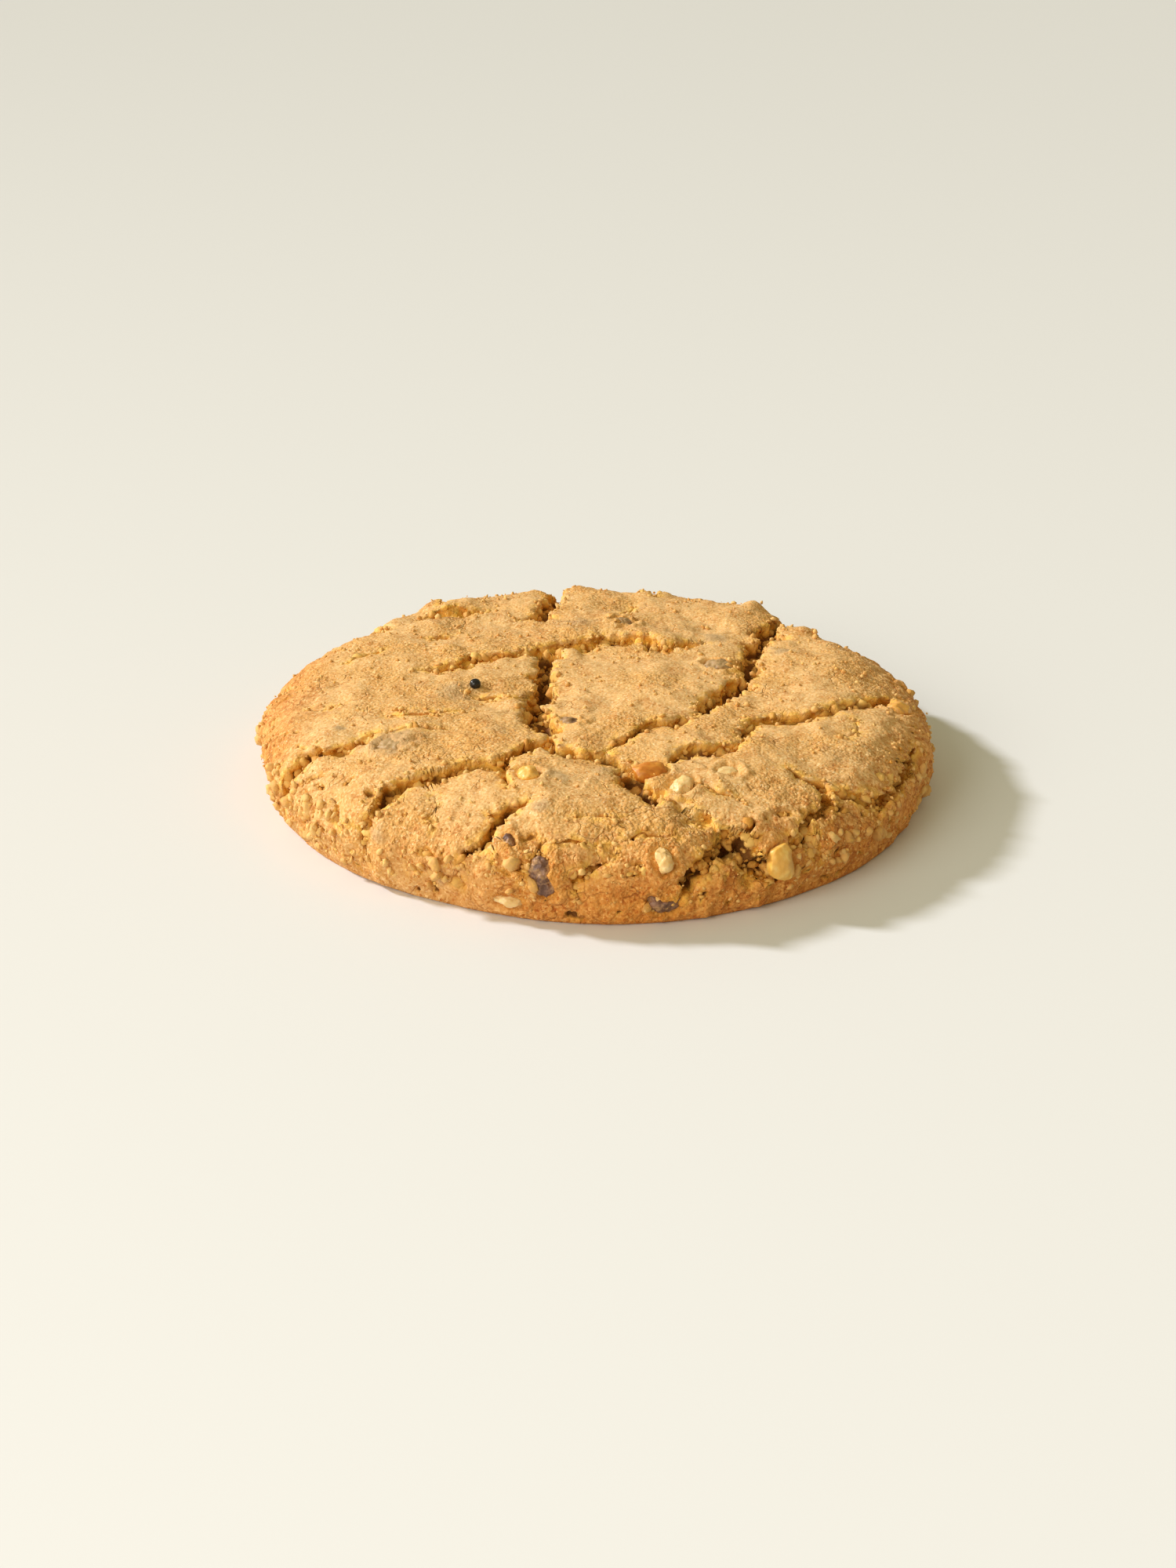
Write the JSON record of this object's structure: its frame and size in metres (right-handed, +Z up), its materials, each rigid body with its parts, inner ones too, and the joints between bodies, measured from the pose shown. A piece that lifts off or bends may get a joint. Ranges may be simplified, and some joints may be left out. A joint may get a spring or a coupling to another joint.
{
  "type": "oatmeal raisin cookie",
  "caption": "Round oatmeal raisin cookie, 90 mm across, with a cracked golden crust, raisins and chopped nuts.",
  "frame": {"origin": "centre of the cookie's outline on the plane that it rests on", "axes": "+Z up out of the crust, along the cookie's thickness; the side that the picture shows faces -Y"},
  "size_m": [0.0899, 0.0908, 0.014],
  "materials": {
    "crust": "matt",
    "raisin": "satin",
    "nut": "satin",
    "almond_skin": "satin"
  },
  "bodies": {
    "root": {"cookie": "crust", "raisin_front": "raisin", "raisin_foot": "raisin", "raisin_side": "raisin", "raisin_left": "raisin", "raisin_centre": "raisin", "raisin_back": "raisin", "raisin_back_right": "raisin", "nut_lump": "nut", "nut_flake": "nut", "nut_chip": "nut", "nut_half": "nut", "nut_nugget": "nut", "nut_foot": "nut", "nut_rim": "nut", "almond_chunk": "almond_skin"}
  },
  "joints": []
}
